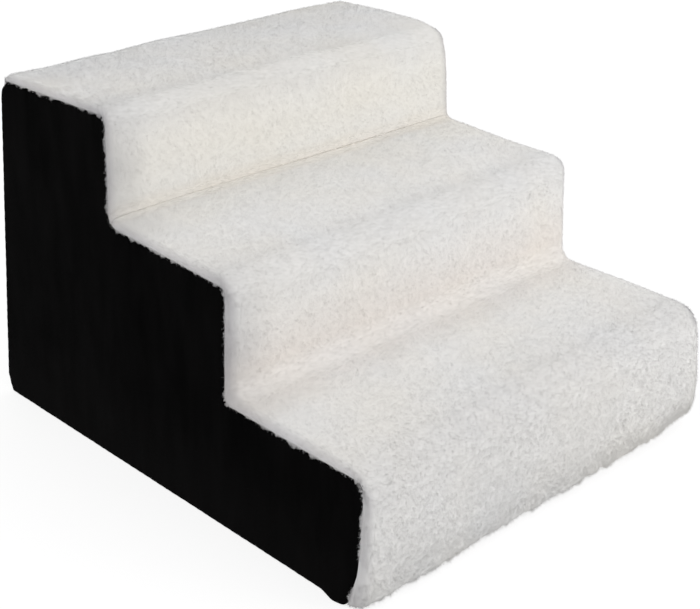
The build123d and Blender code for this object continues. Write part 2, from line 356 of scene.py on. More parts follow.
def blend_colour(tree, share, first, second):
    return node(
        tree, "ShaderNodeMix", {"data_type": "RGBA", "clamp_factor": True}, i0=share, i6=first, i7=second
    ).outputs[2]


def average(tree, first, second):
    return maths(tree, "MULTIPLY", maths(tree, "ADD", first, second), 0.5)


def relief(tree, strength, distance, height):
    """Bump from a height map."""
    return node(
        tree, "ShaderNodeBump", None, Strength=strength, Distance=distance, Height=height
    ).outputs[0]


def object_place(tree):
    return node(tree, "ShaderNodeTexCoord").outputs["Object"]


def object_axes(tree):
    return node(tree, "ShaderNodeSeparateXYZ", None, Vector=object_place(tree)).outputs


def stretched_place(tree, given):
    """Places on the object, stretched by a group's own input."""
    stretch = given.outputs["Stretch"]
    return node(
        tree, "ShaderNodeVectorMath", {"operation": "MULTIPLY"}, i0=object_place(tree), i1=stretch
    ).outputs[0]


def group(name, inputs, outputs):
    """A node group with named sockets. Gives the tree, its input node and its output node."""
    tree = bpy.data.node_groups.new(name, "ShaderNodeTree")
    for label, kind, value in inputs:
        socket = tree.interface.new_socket(name=label, in_out="INPUT", socket_type=kind)
        socket.default_value = value
    for label, kind in outputs:
        tree.interface.new_socket(name=label, in_out="OUTPUT", socket_type=kind)
    return tree, tree.nodes.new("NodeGroupInput"), tree.nodes.new("NodeGroupOutput")


def use(tree, effect, **inputs):
    """An effect group placed in a material, with its own values."""
    return node(tree, "ShaderNodeGroup", {"node_tree": effect}, **inputs)


unstretched, cloud_range = (1.0, 1.0, 1.0), (0.3, 0.7)


def make_blotches():
    """Cloudy change over a cloth, stretched along its nap."""
    tree, given, out = group(
        "blotches",
        [
            ("Size", "NodeSocketFloat", 30.0),
            ("Stretch", "NodeSocketVector", unstretched),
            ("Detail", "NodeSocketFloat", 3.0),
        ],
        [("Mask", "NodeSocketFloat")],
    )
    cloud = node(
        tree, "ShaderNodeTexNoise", None,
        Vector=stretched_place(tree, given), Scale=given.outputs["Size"],
        Detail=given.outputs["Detail"], Roughness=0.55,
    ).outputs["Fac"]
    tree.links.new(between(tree, cloud, *cloud_range), out.inputs["Mask"])
    return tree


def make_fibre_grain():
    """A short nap or pile as fine relief, for the bump of a cloth."""
    tree, given, out = group(
        "fibre_grain",
        [
            ("Fineness", "NodeSocketFloat", 900.0),
            ("Stretch", "NodeSocketVector", (1.0, 1.0, 0.4)),
            ("Strength", "NodeSocketFloat", 0.5),
            ("Height", "NodeSocketFloat", 0.2 * mm),
        ],
        [("Grain", "NodeSocketFloat"), ("Normal", "NodeSocketVector")],
    )
    grain = node(
        tree, "ShaderNodeTexNoise", None,
        Vector=stretched_place(tree, given), Scale=given.outputs["Fineness"], Detail=2.0, Roughness=0.6,
    ).outputs["Fac"]
    normal = relief(tree, given.outputs["Strength"], given.outputs["Height"], grain)
    tree.links.new(grain, out.inputs["Grain"])
    tree.links.new(normal, out.inputs["Normal"])
    return tree


def make_woven():
    """Threads over and under each other on two axes of the object."""
    tree, given, out = group(
        "woven",
        [
            ("Threads", "NodeSocketFloat", 1800.0),
            ("Strength", "NodeSocketFloat", 0.6),
            ("Height", "NodeSocketFloat", 0.3 * mm),
        ],
        [("Threads", "NodeSocketFloat"), ("Normal", "NodeSocketVector")],
    )
    parts = object_axes(tree)
    count = given.outputs["Threads"]
    up = maths(tree, "ADD", parts["Z"], parts["Y"])
    warp = maths(tree, "SINE", maths(tree, "MULTIPLY", parts["X"], count))
    weft = maths(tree, "SINE", maths(tree, "MULTIPLY", up, count))
    woven = maths(tree, "MULTIPLY", warp, weft)
    level = between(tree, woven, -1.0, 1.0)
    normal = relief(tree, given.outputs["Strength"], given.outputs["Height"], level)
    tree.links.new(level, out.inputs["Threads"])
    tree.links.new(normal, out.inputs["Normal"])
    return tree


def make_near_line():
    """A mask that is 1 on a line across the stairs, at a depth and a height, and fades away."""
    tree, given, out = group(
        "near_line",
        [
            ("Depth", "NodeSocketFloat", 0.0),
            ("Height", "NodeSocketFloat", 0.0),
            ("Reach", "NodeSocketFloat", 20 * mm),
        ],
        [("Mask", "NodeSocketFloat")],
    )
    parts = object_axes(tree)
    along = maths(tree, "SUBTRACT", parts["Y"], given.outputs["Depth"])
    above = maths(tree, "SUBTRACT", parts["Z"], given.outputs["Height"])
    squares = [maths(tree, "POWER", maths(tree, "ABSOLUTE", way), 2.0) for way in (along, above)]
    off = maths(tree, "SQRT", maths(tree, "ADD", *squares))
    tree.links.new(between(tree, off, given.outputs["Reach"], 0.0), out.inputs["Mask"])
    return tree


blotches, fibre_grain = make_blotches(), make_fibre_grain()
woven, near_line = make_woven(), make_near_line()


def material(name):
    """A new material. Gives it, its tree and its shader node."""
    made = bpy.data.materials.new(name)
    made.use_nodes = True
    return made, made.node_tree, made.node_tree.nodes["Principled BSDF"]


def plush_colour(tree, warm, cool):
    """Plush that drifts from warm to cool, with painted light and shade along its lines, the tan where
    its pile parts at the crease seam, and painted shade by its side seams.
    """
    cloudy = use(tree, blotches, Size=11.0, Stretch=unstretched, Detail=2.0).outputs[0]
    colour = blend_colour(tree, cloudy, cool, warm)
    for (depth, height), reach, strength, tint in plush_painted_light_and_shade:
        mask = use(tree, near_line, Depth=depth, Height=height, Reach=reach).outputs[0]
        colour = blend_colour(tree, maths(tree, "MULTIPLY", mask, strength), colour, tint)
    across = object_axes(tree)["X"]
    beside = between(tree, across, painted_riser_shade_across - cover_side, -cover_side)
    # Painted shade on the two upper risers beside their near seam
    for (depth, height), strength in painted_riser_shades:
        mask = use(tree, near_line, Depth=depth, Height=height, Reach=painted_riser_shade_reach).outputs[0]
        mask = maths(tree, "MULTIPLY", maths(tree, "MULTIPLY", mask, beside), strength)
        colour = blend_colour(tree, mask, colour, painted_riser_shade_colour)
    # Painted shade along both side seams
    out = maths(tree, "ABSOLUTE", across)
    mask = between(tree, out, cover_side - painted_side_shade_reach, cover_side, 0.0, painted_side_shade_strength)
    return blend_colour(tree, mask, colour, painted_side_shade_colour)


def shaded(tree, colour, shade):
    """A colour, darker or lighter by a shade round 1."""
    settings = {"data_type": "RGBA", "blend_type": "MULTIPLY"}
    return node(tree, "ShaderNodeMix", settings, i0=1.0, i6=colour, i7=shade).outputs[2]


def plush_finish():
    made, tree, shader = material("plush")
    colour = plush_colour(tree, *skin_colours)
    mottled = use(tree, blotches, Size=190.0, Stretch=unstretched, Detail=3.0).outputs[0]
    grain = use(tree, fibre_grain, Fineness=1100.0, Stretch=unstretched, Strength=0.25, Height=0.2 * mm)
    colour = shaded(tree, colour, between(tree, mottled, 0.0, 1.0, out_low=0.98, out_high=1.02))
    wire(
        tree, shader, Base_Color=colour, Normal=grain.outputs["Normal"],
        Roughness=0.95, Specular_IOR_Level=0.12, Sheen_Weight=0.15, Sheen_Roughness=0.6,
    )
    return made


def fibre_finish():
    made, tree, shader = material("plush_fibre")
    colour = plush_colour(tree, *fibre_colours)
    reach = node(tree, "ShaderNodeAttribute", {"attribute_name": "reach"}).outputs["Fac"]
    # Painted shade low on each fibre and painted light at its tip, by the reach from root to tip
    colour = shaded(tree, colour, between(tree, reach, 0.0, 1.0, out_low=0.97, out_high=1.02))
    wire(tree, shader, Base_Color=colour, Roughness=0.9, Specular_IOR_Level=0.15)
    return made


def suede_finish():
    made, tree, shader = material("suede")
    streaks = use(tree, blotches, Size=70.0, Stretch=(1.0, 1.0, 0.22), Detail=3.0).outputs[0]
    clouds = use(tree, blotches, Size=16.0, Stretch=(1.0, 1.0, 0.7), Detail=2.0).outputs[0]
    colour = blend_colour(tree, average(tree, streaks, clouds), *suede_colours)
    dusty = between(tree, object_axes(tree)["Z"], dust_height, 0.0, 0.0, dust_strength)
    colour = blend_colour(tree, dusty, colour, dust_colour)
    grain = use(
        tree, fibre_grain, Fineness=1300.0, Stretch=(1.0, 1.0, 0.45), Strength=0.5, Height=0.25 * mm
    )
    rough = between(tree, grain.outputs["Grain"], 0.0, 1.0, out_low=0.86, out_high=1.0)
    wire(
        tree, shader, Base_Color=colour, Normal=grain.outputs["Normal"], Roughness=rough,
        Specular_IOR_Level=0.02, Sheen_Weight=0.006, Sheen_Roughness=0.35,
    )
    return made


def cloth_finish(name, dark, light, threads, height):
    """A plain weave between two colours."""
    made, tree, shader = material(name)
    weave = use(tree, woven, Threads=threads, Strength=0.7, Height=height)
    clouds = use(tree, blotches, Size=60.0, Stretch=unstretched, Detail=2.0).outputs[0]
    colour = blend_colour(tree, average(tree, weave.outputs["Threads"], clouds), dark, light)
    wire(
        tree, shader, Base_Color=colour, Normal=weave.outputs["Normal"],
        Roughness=0.85, Specular_IOR_Level=0.2,
    )
    return made


def moulded_finish(name, dark, light, roughness):
    """Plastic, rubber or enamel with a little wear and a fine skin."""
    made, tree, shader = material(name)
    clouds = use(tree, blotches, Size=220.0, Stretch=unstretched, Detail=3.0).outputs[0]
    grain = use(tree, fibre_grain, Fineness=2400.0, Stretch=unstretched, Strength=0.15, Height=0.05 * mm)
    rough = between(tree, clouds, 0.0, 1.0, roughness - 0.06, roughness + 0.08)
    colour = blend_colour(tree, clouds, dark, light)
    wire(tree, shader, Base_Color=colour, Roughness=rough, Normal=grain.outputs["Normal"])
    return made


def foam_finish():
    made, tree, shader = material("foam")
    cells = node(
        tree, "ShaderNodeTexVoronoi", None, Vector=object_place(tree), Scale=700.0
    ).outputs["Distance"]
    clouds = use(tree, blotches, Size=9.0, Stretch=unstretched, Detail=2.0).outputs[0]
    colour = blend_colour(tree, clouds, *foam_colours)
    normal = relief(tree, strength=0.6, distance=0.4 * mm, height=cells)
    wire(tree, shader, Base_Color=colour, Normal=normal, Roughness=0.95)
    return made


plush, fibre, suede = plush_finish(), fibre_finish(), suede_finish()
tape_cloth = cloth_finish(
    "zip_tape", (0.006, 0.006, 0.006, 1), (0.02, 0.02, 0.02, 1), threads=5200.0, height=0.15 * mm
)
base_cloth = cloth_finish(
    "base_cloth", (0.008, 0.008, 0.008, 1), (0.022, 0.022, 0.023, 1), threads=2600.0, height=0.2 * mm
)
rubber = moulded_finish(
    "grip_rubber", (0.012, 0.012, 0.012, 1), (0.022, 0.022, 0.022, 1), roughness=0.6
)
tooth_plastic = moulded_finish(
    "zip_teeth", (0.010, 0.010, 0.010, 1), (0.02, 0.02, 0.02, 1), roughness=0.38
)
enamel = moulded_finish(
    "zip_metal", (0.012, 0.012, 0.012, 1), (0.022, 0.022, 0.022, 1), roughness=0.28
)
thread = moulded_finish("thread", (0.008, 0.008, 0.008, 1), (0.02, 0.02, 0.021, 1), roughness=0.7)
foam = foam_finish()


def rack(points):
    """Points of the cover as it stands: one side leans forward where the other leans back,
    the far end of the foot stands out over a drawn-up corner, and the far end of the top
    nosing is pressed round."""
    moved = np.array(points, float)
    turn = moved[..., 0] / cover_side * (moved[..., 2] / rack_middle - 1)
    front = np.clip((riser_faces[0] + foot_depth - moved[..., 1]) / foot_depth, 0, 1)
    far = np.clip(moved[..., 0] / cover_side, 0, 1)
    foot = far * np.clip(1 - moved[..., 2] / far_foot_height, 0, 1) ** far_foot_power
    off = np.hypot(moved[..., 1] - riser_tops[2], moved[..., 2] - nose_heights[2] - tread_pile)
    dent = far_nose_dent * far**2 * bell(off, far_nose_reach) * dent_each_way
    drawn = np.interp((moved[..., 0] / cover_side + 1) / 2, *zip(*far_corner_shares))
    drawn = drawn * (front * np.clip(1 - moved[..., 2] / far_corner_height, 0, 1)) ** 2
    moved[..., 1] += racking * turn - far_foot_out * foot * front + dent + far_corner_tuck * drawn
    moved[..., 2] += far_corner_lift * drawn - dent
    return moved


def meet_at_crease(tread_end, corner, riser_end, radius):
    """The crease's round corner cut in half: the corner of each half, and where they meet."""
    tread_end, corner, riser_end = (np.array(spot) for spot in (tread_end, corner, riser_end))
    inward, onward = unit(corner - tread_end), unit(riser_end - corner)
    turn = math.acos(float(inward @ onward))
    slide = radius * (math.tan(turn / 2) - math.tan(turn / 4))
    middle = corner + unit(onward - inward) * radius * (1 / math.cos(turn / 2) - 1)
    return corner - slide * inward, middle, corner + slide * onward


# Corners that the plush's seam and the side panels share
seam_noses = list(zip(riser_tops, nose_heights, seam_nose_radii))
seam_front = (riser_tops[0], front_tuck_height, front_tuck_round)
seam_valley = (riser_feet[0], inner_heights[0], valley_seam_radius)
seam_crease = (riser_feet[1], inner_heights[1], crease_seam_radius)


def stair_seam():
    """Side seam corners from the hem to the crease, and from the crease to the back seam."""
    low, middle, high = meet_at_crease(
        seam_noses[1][:2], seam_crease[:2], seam_noses[2][:2], crease_seam_radius
    )
    lower = [
        (base_front, seam_foot, 0),
        seam_front,
        seam_noses[0],
        seam_valley,
        seam_noses[1],
        (*low, crease_seam_radius),
        (*middle, 0),
    ]
    upper = [
        (*middle, 0),
        (*high, crease_seam_radius),
        seam_noses[2],
        (back_top[0] - back_seam_in, back_top[1], back_seam_radius),
        (*back_seam, 0),
    ]
    return lower, upper


def stair_crown():
    """The same corners where the pile stands to its full height."""
    outs, up = riser_piles, tread_pile
    noses = [(top - out, nose + up) for top, out, nose in zip(riser_tops, outs, nose_heights)]
    front = noses[0][0]
    crease = (riser_feet[1] - outs[2], inner_heights[1] + up)
    low, middle, high = meet_at_crease(noses[1], crease, noses[2], crease_radius)
    lower = [
        (front + hem_tuck, hem_height, 0),
        (front - bulge, bulge_height, bulge_round),
        (*noses[0], nosing_radii[0]),
        (riser_feet[0] - outs[1], inner_heights[0] + up, valley_radius),
        (*noses[1], nosing_radii[1]),
        (*low, crease_radius),
        (*middle, 0),
    ]
    upper = [
        (*middle, 0),
        (*high, crease_radius),
        (*noses[2], nosing_radii[2]),
        (back_top[0] + pile_overhang, back_top[1] + up, back_crown_radius),
        (back_seam[0] + pile_overhang / 2, back_seam[1], 0),
    ]
    return lower, upper


def across_places():
    """X of each line of points, the share of the pile there, and the way across so far."""
    angles = np.radians(np.linspace(0, 90, roll_points))
    roll_x = cover_side - roll_width * (1 - np.cos(angles))
    roll_share = seam_lift_share + (shoulder_share - seam_lift_share) * np.sin(angles)
    inner = cover_side - roll_width
    count = 2 * math.ceil(inner / skin_spacing)
    middle_x = np.linspace(-inner, inner, count + 1)[1:-1]
    rise = np.clip((inner - np.abs(middle_x)) / crown_run, 0, 1)
    middle_share = shoulder_share + (1 - shoulder_share) * np.sin(rise * math.pi / 2)
    x = np.concatenate([-roll_x, middle_x, roll_x[::-1]])
    share = np.concatenate([roll_share, middle_share, roll_share[::-1]])
    way = run_lengths(np.stack([x, share * tread_pile], 1))
    return x, share, way


class PlushSkin:
    """The plush under its loose fibres, as a grid of points from seam to seam."""

    def __init__(self, seam, crown, ruffle_shares, ends_at_back=False):
        self.ends_at_back = ends_at_back
        crown_points, counts = rounded_path(crown, skin_spacing)
        self.seam = rounded_path(seam, counts=counts)[0]
        self.x, share, self.way = across_places()
        self.length = run_lengths(crown_points)
        share = np.broadcast_to(share, (len(self.length), len(self.x)))
        self.bare = self._bare_end() if ends_at_back else 0 * share
        if ends_at_back:
            share = share * (1 - self.bare) * (1 - self._pressed())
        side = self.seam[:, None] + share[..., None] * (crown_points - self.seam)[:, None]
        wide = np.broadcast_to(self.x, side.shape[:2])
        flat = np.concatenate([wide[..., None], side], 2)
        if not ends_at_back:
            flat = self._hem(flat)
        u, v = np.meshgrid(self.way, self.length)
        where = self.length / self.length[-1] * (len(ruffle_shares) - 1)
        self.ruffle = np.interp(where, np.arange(len(ruffle_shares)), ruffle_shares)
        to_seam = np.minimum(self.way, self.way[-1] - self.way)
        edge = np.clip(to_seam / roll_width, roll_calm_share, 1)
        swell = swell_depth * edge[None] * soft_noise(u, v, swell_pitch)
        out = swell * (1 - self.bare) - back_end_sink * self.bare
        swollen = flat + self._normals(flat) * out[..., None]
        self.smooth = self._normals(rack(swollen))
        strength = self.ruffle[:, None] * edge[None]
        lock_gap = nearest_lock(u, v, lock_pitch)[2]
        curl_gap = nearest_lock(u, v, curl_pitch, 1)[2]
        height = -lock_depth * strength * lock_gap**lock_power - curl_depth * strength * curl_gap
        self.points = rack(swollen + self._normals(flat) * height[..., None])
        self.points[..., 2] = np.maximum(self.points[..., 2], skin_floor)
        self.normals = self._normals(self.points)
        self.uphill = unit(np.gradient(self.points, axis=0))

    def _bare_end(self):
        """1 at the two corners short of the back seam where the pile has ended, and 0 elsewhere."""
        gap = np.clip((self.length[-1] - self.length - back_end_bare) / back_end_rise, 0, 1)
        side = np.clip((cover_side - np.abs(self.x)) / back_corner_width, 0, 1)
        return (1 - eased(gap))[:, None] * (1 - eased(side))[None]

    def _pressed(self):
        """How far the pile is pressed down at the back, beside its near end."""
        across = bell(cover_side - pressed_in + self.x, pressed_reach)
        along = np.clip(1 - (self.length[-1] - self.length) / pressed_run, 0, 1)
        return pressed_share * along[:, None] * across[None]

    def _grown(self, u, v):
        """Which of these places have pile."""
        return self.look_up(self.bare[..., None], u, v)[:, 0] < fibres_end_at

    def _hem(self, flat):
        """The foot of the pile, lifted towards the far end and broken into tufts."""
        x, z = flat[..., 0], flat[..., 2]
        lift = hem_lift * np.clip((x / cover_side + 1) / 2, 0, 1) ** 2
        for layer, (pitch, depth) in enumerate(hem_tufts):
            lift = lift + depth * (1 + soft_noise(x, 0 * x, pitch, layer)) / 2
        flat[..., 2] += lift * np.clip(1 - z / hem_reach, 0, 1) ** 2
        return flat

    def _normals(self, points):
        return unit(np.cross(np.gradient(points, axis=1), np.gradient(points, axis=0)))

    def look_up(self, grid, u, v):
        """Values of a grid at ways u across and v along, by straight lines between its points."""
        a = np.interp(v, self.length, np.arange(len(self.length)))
        b = np.interp(u, self.way, np.arange(len(self.way)))
        i = np.minimum(a.astype(int), len(self.length) - 2)
        j = np.minimum(b.astype(int), len(self.way) - 2)
        fa, fb = (a - i)[:, None], (b - j)[:, None]
        low = grid[i, j] * (1 - fb) + grid[i, j + 1] * fb
        high = grid[i + 1, j] * (1 - fb) + grid[i + 1, j + 1] * fb
        return low * (1 - fa) + high * fa

    def build(self, name, node_name):
        """A closed sheet: the pile outside, and the backing cloth on the foam and the seams."""
        rows, columns = self.points.shape[:2]
        picked = list(range(0, rows - 1, backing_every)) + [rows - 1]
        backing = np.zeros((len(picked), columns, 3))
        backing[..., 0] = self.x * core_side / cover_side
        backing[..., 1:] = self.seam[picked][:, None]
        if self.ends_at_back:
            backing[-1, :, 1] -= back_end_sink
        backing = rack(backing)
        start = rows * columns
        top = grid_faces(rows, columns)
        under = grid_faces(len(picked), columns, start)[:, ::-1]
        below, above = np.arange(columns), (rows - 1) * columns + np.arange(columns)
        last = start + (len(picked) - 1) * columns
        hem = np.stack([start + below[:-1], start + below[1:], below[1:], below[:-1]], 1)
        crest = np.stack([above[:-1], above[1:], last + below[1:], last + below[:-1]], 1)
        points = np.concatenate([self.points.reshape(-1, 3), backing.reshape(-1, 3)])
        faces = [np.concatenate([top, under, hem, crest]), self._caps(picked, start, columns)]
        piece = mesh_piece(name, points, faces, plush)
        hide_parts(node_name)
        fibres = self.grow(name)
        return piece

    def _caps(self, picked, start, columns):
        """Triangles that close the sheet along both seams, where the pile has more rows."""
        caps = []
        for k, (a, b) in enumerate(zip(picked, picked[1:])):
            half = (a + b) // 2
            for side in (0, columns - 1):
                low, high = start + k * columns + side, start + (k + 1) * columns + side
                row = [i * columns + side for i in range(b + 1)]
                fan = [(low, row[i], row[i + 1]) for i in range(a, half)]
                fan.append((low, row[half], high))
                fan += [(high, row[i], row[i + 1]) for i in range(half, b)]
                caps += fan if side == 0 else [f[::-1] for f in fan]
        return np.array(caps)

    def grow(self, name):
        """The loose fibres, in bands from one end of the cloth to the other, and the fringe."""
        count = int(fibre_density * self.way[-1] * self.length[-1])
        v = np.sort(chance.random(count)) * self.length[-1]
        u = chance.random(count) * self.way[-1]
        grown = self._grown(u, v)
        u, v = u[grown], v[grown]
        count = len(u)
        bands = math.ceil(count / fibres_per_piece)
        parts = enumerate(zip(np.array_split(u, bands), np.array_split(v, bands)))
        pile = [self.fibre_band(f"{name}_pile_{k + 1}", *part) for k, part in parts]
        return pile + [self.fringe(name)] + ([] if self.ends_at_back else [self.hem_fringe(name)])

    def fibre_band(self, name, u, v):
        """Fibres that lean downhill, stray a little, and gather towards their curls and locks."""
        count = len(u)
        normal, uphill = self.look_up(self.normals, u, v), self.look_up(self.uphill, u, v)
        skin = self.look_up(self.points, u, v)
        sideways = np.cross(normal, uphill)
        curl_u, curl_v, _ = nearest_lock(u, v, curl_pitch, 1)
        lock_u, lock_v, _ = nearest_lock(curl_u, curl_v, lock_pitch)
        middle_u = curl_share * curl_u + (1 - curl_share) * lock_u
        middle_v = curl_share * curl_v + (1 - curl_share) * lock_v
        toward = self.look_up(self.points, middle_u, middle_v) - skin
        long = chance.uniform(*fibre_lengths, count)[:, None]
        lean, drift = chance.normal(0, wander, (2, count, 1))
        ruffle = np.interp(v, self.length, self.ruffle)[:, None]
        loose = chance.random((count, 1)) < loose_share
        upright = stand * (calm_stand_share + (1 - calm_stand_share) * ruffle) + loose_stand * loose
        long = long * (calm_length_share + (1 - calm_length_share) * ruffle)
        aim = upright * normal - (comb + lean) * uphill + drift * sideways
        root = skin - fibre_sink * normal
        tip = root + unit(aim) * long + gather * toward
        shade = unit(relief_share * normal + (1 - relief_share) * self.look_up(self.smooth, u, v))
        return fibre_piece(name, root, tip, shade, sideways)

    def fringe(self, name):
        """Short tufts along both side seams, which lie over the edge of the side panels."""
        count = int(fringe_density * self.length[-1])
        v = np.concatenate([chance.random(count), chance.random(count)]) * self.length[-1]
        inset = chance.random(2 * count) * fringe_inset
        u = np.where(np.arange(2 * count) < count, inset, self.way[-1] - inset)
        grown = self._grown(u, v)
        u, v = u[grown], v[grown]
        count = len(u)
        skin, shade = self.look_up(self.points, u, v), self.look_up(self.smooth, u, v)
        inward = -self.look_up(self.smooth, np.full(count, self.way[-1] / 2), v)
        outward = np.sign(skin[:, :1]) * np.array((1.0, 0, 0))
        noise = soft_noise(v, np.sign(skin[:, 0]), fringe_pitch)
        long = tuft_lengths(noise, fringe_lengths, fringe_even_share)
        aim = inward + fringe_out * outward + chance.normal(0, tuft_scatter, (count, 3))
        root = skin - fringe_sink_share * fibre_sink * shade
        return fibre_piece(f"{name}_fringe", root, root + unit(aim) * long, shade, outward)

    def hem_fringe(self, name):
        """Tufts of uneven length that hang over the hem."""
        count = int(fringe_density * self.way[-1])
        u, v = chance.random(count) * self.way[-1], chance.random(count) * hem_row
        skin, shade = self.look_up(self.points, u, v), self.look_up(self.smooth, u, v)
        uphill = self.look_up(self.uphill, u, v)
        long = tuft_lengths(soft_noise(u, 0 * u, hem_pitch), hem_lengths, hem_even_share)
        aim = hem_out * shade - uphill + chance.normal(0, tuft_scatter, (count, 3))
        root = skin - hem_sink_share * fibre_sink * shade
        sideways = np.cross(shade, uphill)
        return fibre_piece(f"{name}_hem", root, root + unit(aim) * long, shade, sideways)


def tuft_lengths(noise, lengths, even_share):
    """Lengths that are long in the middle of each tuft and short between the tufts. Chance
    leaves at least the even share of each."""
    tuft = ((1 + noise) / 2) ** 2 * (even_share + (1 - even_share) * chance.random(len(noise)))
    return (lengths[0] + (lengths[1] - lengths[0]) * tuft)[:, None]


def fibre_piece(name, root, tip, shade, sideways):
    """Thin three-sided fibres from root to tip, each shaded mostly like the skin it lies on."""
    count = len(root)
    for points in (root, tip):
        points[:, 2] = np.maximum(points[:, 2], fibre_floor)
    along = unit(tip - root)
    first = unit(np.cross(along, sideways + ring_tilt * shade))
    second = np.cross(along, first)
    radius = fibre_radius * chance.uniform(*fibre_radius_shares, (count, 1))
    ring = [math.cos(a) * first + math.sin(a) * second for a in fibre_angles]
    points = np.stack([root + radius * r for r in ring] + [tip], 1)
    base = 4 * np.arange(count)[:, None]
    faces = np.concatenate([base + np.array(f) for f in ((0, 1, 3), (1, 2, 3), (2, 0, 3), (2, 1, 0))])
    piece = mesh_piece(name, points.reshape(-1, 3), [faces], fibre)
    reach = piece.data.attributes.new("reach", "FLOAT", "POINT")
    reach.data.foreach_set("value", np.tile([0, 0, 0, 1], count).astype(np.float32))
    nap = nap_share * shade[:, None] + (1 - nap_share) * np.stack([*ring, along], 1)
    piece.data.normals_split_custom_set_from_vertices(unit(nap).reshape(-1, 3))
    spread_fibres(piece.data, count)
    return piece


def spread_fibres(mesh, count):
    """A texture map with a small square for each fibre, opened out round its tip."""
    side = math.ceil(math.sqrt(count))
    angles = np.array(fibre_angles)
    ring = np.stack([np.cos(angles), np.sin(angles)], 1)
    opened = np.concatenate([fan_middle + fan_reach * ring, [fan_middle]])
    corner = np.zeros(len(mesh.loops), np.int32)
    mesh.loops.foreach_get("vertex_index", corner)
    cell = np.stack([corner // 4 % side, corner // 4 // side], 1)
    place = opened[corner % 4]
    foot = slice(len(corner) - 3 * count, None)
    place[foot] = foot_middle + foot_reach * ring[corner[foot] % 4]
    spots = ((cell + place) / side).astype(np.float32)
    mesh.uv_layers.new(name="OFBake").data.foreach_set("uv", spots.ravel())


lower_seam, upper_seam = stair_seam()
lower_crown, upper_crown = stair_crown()
lower_skin = PlushSkin(lower_seam, lower_crown, lower_ruffle_shares)
upper_skin = PlushSkin(upper_seam, upper_crown, upper_ruffle_shares, ends_at_back=True)
lower_skin.build("plush_cloth_lower", "plush_lower")
upper_skin.build("plush_cloth_upper", "plush_upper")


# Suede panels: a seam rolled in all round, a slight swell, and puckers along the stitching
panel_spacing = 4 * mm
ring_depths = (0.0, 0.25 * mm, 0.7 * mm, 1.4 * mm, 2.4 * mm, 4.0 * mm)
outline_share, grid_scatter, grid_margin, merge_gap = 0.6, 0.3, 0.5, 1e-7
edge_roll, edge_drop = 2.2 * mm, 1.7 * mm
panel_swell, swell_reach = 1.4 * mm, 45 * mm
pucker_pitch, pucker_height, pucker_reach = 9 * mm, 0.35 * mm, 9 * mm
pucker_wander, pucker_wander_pitch, pucker_rim_share = 2.5, 30 * mm, 0.2
slack_pitch, slack_depth = 70 * mm, 0.5 * mm
dimple_pitch, dimple_depth = 11 * mm, 0.12 * mm
panel_foot = 0.1 * mm
seam_lump, seam_lump_reach = 3.5 * mm, 10 * mm


def closed_outline(corners, spacing):
    """A closed outline through (u, v, radius) corners, starting in the middle of its last side."""
    first, last = corners[0], corners[-1]
    start = ((first[0] + last[0]) / 2, (first[1] + last[1]) / 2, 0)
    points, _ = rounded_path([start, *corners, start], spacing)
    return points[:-1]


def outline_distance(points, outline):
    """For each point, the gap to a closed outline, and how far along it the nearest spot is."""
    ends = np.roll(outline, -1, axis=0)
    run = ends - outline
    along = np.concatenate([[0], np.cumsum(np.linalg.norm(run, axis=1))[:-1]])
    best, where = np.full(len(points), math.inf), np.zeros(len(points))
    for a, r, s in zip(outline, run, along):
        length = np.linalg.norm(r)
        share = np.clip((points - a) @ r / length**2, 0, 1)
        gap = np.linalg.norm(points - a - share[:, None] * r, axis=1)
        closer = gap < best
        best = np.where(closer, gap, best)
        where = np.where(closer, s + share * length, where)
    return best, where


def inset(outline, depth):
    """An anticlockwise outline drawn in by a depth."""
    tangent = unit(np.roll(outline, -1, axis=0) - np.roll(outline, 1, axis=0))
    return outline + depth * np.stack([-tangent[:, 1], tangent[:, 0]], 1)


def flat_sheet(corners, spacing, depths):
    """A triangulated flat sheet, closely spaced at its edge. Gives its points and triangles,
    each point's gap to the edge and its place along it, and the outline."""
    outline = closed_outline(corners, spacing * outline_share)
    rings = [inset(outline, depth) for depth in depths]
    lines = [np.arange(low, high, spacing) for low, high in zip(outline.min(0), outline.max(0))]
    grid = np.stack(np.meshgrid(*lines), 2).reshape(-1, 2)
    grid = grid + grid_scatter * spacing * (chance.random(grid.shape) - 0.5)
    gap, _ = outline_distance(grid, outline)
    inside = (gap > depths[-1] + grid_margin * spacing) & within(grid, outline)
    flat = np.concatenate([*rings, grid[inside]])
    count = len(outline)
    edges = [(i, (i + 1) % count) for i in range(count)]
    made = geometry.delaunay_2d_cdt([Vector(p) for p in flat], edges, [], 1, merge_gap)
    flat, triangles = np.array([tuple(p) for p in made[0]]), np.array(made[2])
    gap, where = outline_distance(flat, outline)
    return flat, triangles, gap, where, outline


def closed_faces(triangles, size, flip):
    """The faces of a sheet whose far side repeats its points, with its rim closed."""
    border = boundary_loop(triangles)
    onward = np.roll(border, -1)
    rim = np.stack([border, border + size, onward + size, onward], 1)
    faces = [np.concatenate([triangles, triangles[:, ::-1] + size]), rim]
    return [f[:, ::-1] for f in faces] if flip else faces


def outline_area(outline):
    ahead = np.roll(outline, -1, axis=0)
    return 0.5 * abs(float(np.sum(outline[:, 0] * ahead[:, 1] - ahead[:, 0] * outline[:, 1])))


